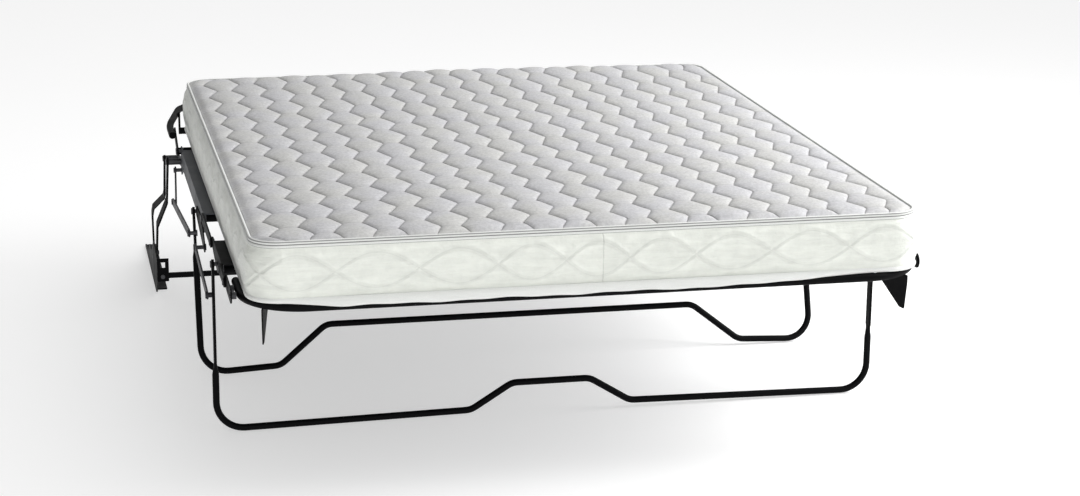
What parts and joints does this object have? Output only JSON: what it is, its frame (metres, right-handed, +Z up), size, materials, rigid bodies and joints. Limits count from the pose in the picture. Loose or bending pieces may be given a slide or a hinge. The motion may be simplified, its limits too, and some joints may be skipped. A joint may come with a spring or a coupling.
{
  "type": "sofa bed mechanism",
  "caption": "Fold-out sofa bed mechanism with folding steel frame, bent-tube legs, sprung fabric deck and a foam mattress, hung between two sofa-side brackets.",
  "frame": {"origin": "on the floor, in the middle of the opened bed's outline seen from above", "axes": "+X across the bed to the right hand side of the picture, +Y from the foot towards the head, +Z up"},
  "size_m": [1.72, 2.1565, 0.5778],
  "materials": {
    "mattress_fabric": "woven, quilted",
    "deck_fabric": "woven polypropylene",
    "black_paint": "satin black",
    "grey_paint": "satin dark grey",
    "zinc_plate": "dull zinc plate",
    "rivet_steel": "dark zinc plate",
    "spring_steel": "oiled wire"
  },
  "bodies": {
    "mount_frame": {"mount_bracket_left": "black_paint", "mount_bracket_right": "black_paint", "cross_rail": "black_paint", "bracket_studs": "rivet_steel", "rail_bolts": "rivet_steel"},
    "lift_arms": {"lift_arm_left": "black_paint", "lift_arm_right": "black_paint"},
    "rear_links": {"rear_link_left": "black_paint", "rear_link_right": "black_paint"},
    "body_section": {"side_rail_left": "grey_paint", "side_rail_right": "grey_paint", "leg_hanger_left": "black_paint", "leg_hanger_right": "black_paint", "body_front_tube": "black_paint", "body_rear_tube": "black_paint", "body_pins": "rivet_steel", "body_deck": "deck_fabric", "body_deck_springs": "spring_steel", "mattress_body": "mattress_fabric"},
    "head_section": {"head_frame": "black_paint", "head_deck": "deck_fabric", "mattress_head": "mattress_fabric"},
    "mid_links": {"mid_link_left": "black_paint", "mid_link_right": "black_paint", "rear_deck_bridge": "deck_fabric", "mattress_rear_bend": "mattress_fabric"},
    "mid_section": {"mid_rail_left": "black_paint", "mid_rail_right": "black_paint", "mid_front_tube": "black_paint", "mid_rear_tube": "black_paint", "mid_pins": "rivet_steel", "mid_deck": "deck_fabric", "mid_deck_springs": "spring_steel", "mattress_mid": "mattress_fabric"},
    "foot_links": {"foot_link_left": "black_paint", "foot_link_right": "black_paint", "front_deck_bridge": "deck_fabric", "mattress_front_bend": "mattress_fabric"},
    "foot_section": {"foot_frame": "black_paint", "foot_hinge_plate_left": "black_paint", "foot_hinge_plate_right": "black_paint", "foot_pins": "rivet_steel", "foot_deck": "deck_fabric", "foot_deck_springs": "spring_steel", "stop_plate_left": "black_paint", "stop_plate_right": "black_paint", "mattress_foot": "mattress_fabric"},
    "rear_leg": {"rear_leg": "black_paint", "rear_leg_pins": "rivet_steel"},
    "front_leg": {"front_leg": "black_paint"},
    "rear_leg_links": {"rear_leg_link_left": "zinc_plate", "rear_leg_link_right": "zinc_plate"},
    "leg_rockers": {"leg_rocker_left": "zinc_plate", "leg_rocker_right": "zinc_plate"},
    "front_leg_links": {"front_leg_link_left": "zinc_plate", "front_leg_link_right": "zinc_plate"}
  },
  "joints": [
    {"name": "lift_arm_swing", "type": "hinge", "parent": "mount_frame", "child": "lift_arms", "pos_m": [0, 0.70825, 0.066], "axis": [-1, 0, 0], "range_deg": [0, 90]},
    {"name": "rear_link_swing", "type": "hinge", "parent": "mount_frame", "child": "rear_links", "pos_m": [0, 0.83825, 0.046], "axis": [-1, 0, 0], "range_deg": [0, 90]},
    {"name": "body_level", "type": "hinge", "parent": "lift_arms", "child": "body_section", "pos_m": [0, 0.48825, 0.392], "axis": [1, 0, 0], "range_deg": [0, 90]},
    {"name": "head_tilt", "type": "hinge", "parent": "body_section", "child": "head_section", "pos_m": [0, 0.45825, 0.428], "axis": [1, 0, 0], "range_deg": [0, 75], "deforming": ["mattress_head"]},
    {"name": "mid_link_fold", "type": "hinge", "parent": "body_section", "child": "mid_links", "pos_m": [0, -0.28175, 0.428], "axis": [-1, 0, 0], "range_deg": [0, 90], "deforming": ["mattress_body", "mattress_rear_bend"]},
    {"name": "mid_section_fold", "type": "hinge", "parent": "mid_links", "child": "mid_section", "pos_m": [0, -0.51175, 0.428], "axis": [-1, 0, 0], "range_deg": [0, 90], "deforming": ["mattress_mid"]},
    {"name": "foot_link_fold", "type": "hinge", "parent": "mid_section", "child": "foot_links", "pos_m": [0, -0.74675, 0.428], "axis": [-1, 0, 0], "range_deg": [0, 90], "deforming": ["mattress_front_bend"]},
    {"name": "foot_section_fold", "type": "hinge", "parent": "foot_links", "child": "foot_section", "pos_m": [0, -0.85175, 0.428], "axis": [-1, 0, 0], "range_deg": [0, 90], "deforming": ["mattress_foot"]},
    {"name": "rear_leg_fold", "type": "hinge", "parent": "body_section", "child": "rear_leg", "pos_m": [0, -0.08175, 0.395], "axis": [1, 0, 0], "range_deg": [0, 90]},
    {"name": "rear_leg_link_turn", "type": "hinge", "parent": "rear_leg", "child": "rear_leg_links", "pos_m": [0, -0.10675, 0.345], "axis": [-1, 0, 0], "range_deg": [0, 90]},
    {"name": "leg_rocker_turn", "type": "hinge", "parent": "body_section", "child": "leg_rockers", "pos_m": [0, 0.47125, 0.372], "axis": [1, 0, 0], "range_deg": [0, 78]},
    {"name": "front_leg_fold", "type": "hinge", "parent": "mid_section", "child": "front_leg", "pos_m": [0, -0.63175, 0.408], "axis": [1, 0, 0], "range_deg": [0, 86]},
    {"name": "front_leg_link_turn", "type": "hinge", "parent": "body_section", "child": "front_leg_links", "pos_m": [0, -0.30175, 0.36], "axis": [-1, 0, 0], "range_deg": [0, 107]}
  ],
  "couplings": [
    {"joint": "rear_link_swing", "follows": "lift_arm_swing", "ratio": 1},
    {"joint": "body_level", "follows": "lift_arm_swing", "ratio": 1},
    {"joint": "mid_link_fold", "follows": "lift_arm_swing", "ratio": 1},
    {"joint": "mid_section_fold", "follows": "lift_arm_swing", "ratio": 1},
    {"joint": "foot_link_fold", "follows": "lift_arm_swing", "ratio": 1},
    {"joint": "foot_section_fold", "follows": "lift_arm_swing", "ratio": 1},
    {"joint": "rear_leg_fold", "follows": "lift_arm_swing", "ratio": 1},
    {"joint": "rear_leg_link_turn", "follows": "lift_arm_swing", "ratio": 0.94},
    {"joint": "leg_rocker_turn", "follows": "lift_arm_swing", "ratio": 0.81},
    {"joint": "front_leg_fold", "follows": "lift_arm_swing", "ratio": 0.945},
    {"joint": "front_leg_link_turn", "follows": "lift_arm_swing", "ratio": 1.18}
  ]
}
